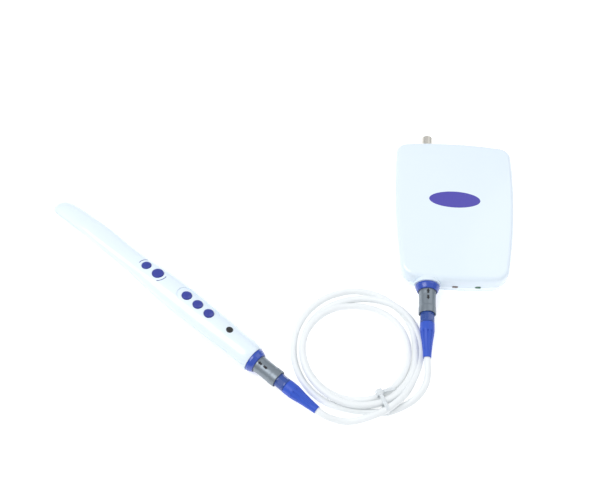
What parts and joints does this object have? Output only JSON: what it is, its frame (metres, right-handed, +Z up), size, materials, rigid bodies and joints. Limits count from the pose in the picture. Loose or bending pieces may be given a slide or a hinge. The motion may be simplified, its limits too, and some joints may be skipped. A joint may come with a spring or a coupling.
{
  "type": "intraoral camera",
  "caption": "Wand-shaped dental camera with push buttons, joined by a coiled lead with push-pull plugs to a flat docking box with signal sockets.",
  "frame": {"origin": "on the table under the middle of the handpiece and docking box together", "axes": "+Z up from the table, +X across to the docking box's side, +Y towards the docking box's rear with its sockets"},
  "size_m": [0.351, 0.2487, 0.026],
  "materials": {
    "casing_white": "satin moulded ABS, very slightly blue white",
    "button_indigo": "smooth moulded, deep indigo",
    "ring_blue": "blue anodised",
    "sleeve_grey": "satin nickel",
    "nut_blue": "blue moulded",
    "boot_blue": "flexible blue",
    "cable_white": "soft white jacket",
    "tie_white": "natural nylon",
    "badge_violet": "violet, plain",
    "indicator_black": "polished black",
    "lens_glass": "clear",
    "lens_black": "black anodised",
    "board_green": "solder mask",
    "chip_black": "moulded epoxy",
    "led_yellow": "phosphor",
    "flex_amber": "polyimide",
    "switch_metal": "stamped",
    "can_silver": "bright",
    "socket_nickel": "nickel plated",
    "lamp_green": "green lens",
    "lamp_smoke": "smoky lens",
    "jack_black": "moulded",
    "usb_steel": "stamped",
    "foot_rubber": "matt",
    "screw_steel": "zinc plated"
  },
  "bodies": {
    "cable": {"cable_coil": "cable_white", "cable_lead_handpiece": "cable_white", "cable_lead_dock": "cable_white", "cable_tie": "tie_white", "handpiece_plug_body": "socket_nickel", "handpiece_collet_nut": "nut_blue", "handpiece_bend_relief": "boot_blue", "dock_plug_body": "socket_nickel", "dock_collet_nut": "nut_blue", "dock_bend_relief": "boot_blue"},
    "handpiece": {"handpiece_top_shell": "casing_white", "handpiece_bottom_shell": "casing_white", "indicator_window": "indicator_black", "handpiece_main_board": "board_green", "tactile_switches": "switch_metal", "lens_window": "lens_glass", "tip_led_board": "board_green", "tip_leds": "led_yellow", "lens_barrel": "lens_black", "image_sensor": "chip_black", "sensor_flex": "flex_amber", "handpiece_ring": "ring_blue", "handpiece_socket": "socket_nickel"},
    "dock": {"dock_top_cover": "casing_white", "dock_bottom_cover": "casing_white", "dock_badge": "badge_violet", "rubber_feet": "foot_rubber", "cover_screws": "screw_steel", "dock_main_board": "board_green", "video_processor": "chip_black", "capacitors": "can_silver", "status_led": "lamp_smoke", "power_led": "lamp_green", "rca_jack": "socket_nickel", "dc_jack": "jack_black", "usb_socket": "usb_steel", "dock_ring": "ring_blue", "dock_socket": "socket_nickel"},
    "handpiece_sleeve": {"handpiece_release_sleeve": "sleeve_grey"},
    "dock_sleeve": {"dock_release_sleeve": "sleeve_grey"},
    "front_button": {"front_button": "button_indigo"},
    "capture_button": {"capture_button": "button_indigo"},
    "menu_button_1": {"menu_button_1": "button_indigo"},
    "menu_button_2": {"menu_button_2": "button_indigo"},
    "menu_button_3": {"menu_button_3": "button_indigo"}
  },
  "joints": [
    {"name": "handpiece_unplug", "type": "slide", "parent": "cable", "child": "handpiece", "axis": [-0.8085, 0.5874, 0.0349], "range_m": [0, 0.014]},
    {"name": "dock_unplug", "type": "slide", "parent": "cable", "child": "dock", "axis": [0, 1, 0], "range_m": [0, 0.014]},
    {"name": "handpiece_sleeve_release", "type": "slide", "parent": "cable", "child": "handpiece_sleeve", "axis": [0.8085, -0.5874, -0.0349], "range_m": [0, 0.0013], "stiffness_N_per_m": 1500},
    {"name": "dock_sleeve_release", "type": "slide", "parent": "cable", "child": "dock_sleeve", "axis": [0, -1, 0], "range_m": [0, 0.0013], "stiffness_N_per_m": 1500},
    {"name": "front_button_press", "type": "slide", "parent": "handpiece", "child": "front_button", "axis": [-0.077, -0.2412, -0.9674], "range_m": [0, 0.00045], "stiffness_N_per_m": 400},
    {"name": "capture_button_press", "type": "slide", "parent": "handpiece", "child": "capture_button", "axis": [-0.077, -0.2412, -0.9674], "range_m": [0, 0.00045], "stiffness_N_per_m": 400},
    {"name": "menu_button_1_press", "type": "slide", "parent": "handpiece", "child": "menu_button_1", "axis": [-0.1696, -0.1758, -0.9697], "range_m": [0, 0.00045], "stiffness_N_per_m": 400},
    {"name": "menu_button_2_press", "type": "slide", "parent": "handpiece", "child": "menu_button_2", "axis": [-0.1696, -0.1758, -0.9697], "range_m": [0, 0.00045], "stiffness_N_per_m": 400},
    {"name": "menu_button_3_press", "type": "slide", "parent": "handpiece", "child": "menu_button_3", "axis": [-0.1696, -0.1758, -0.9697], "range_m": [0, 0.00045], "stiffness_N_per_m": 400}
  ]
}
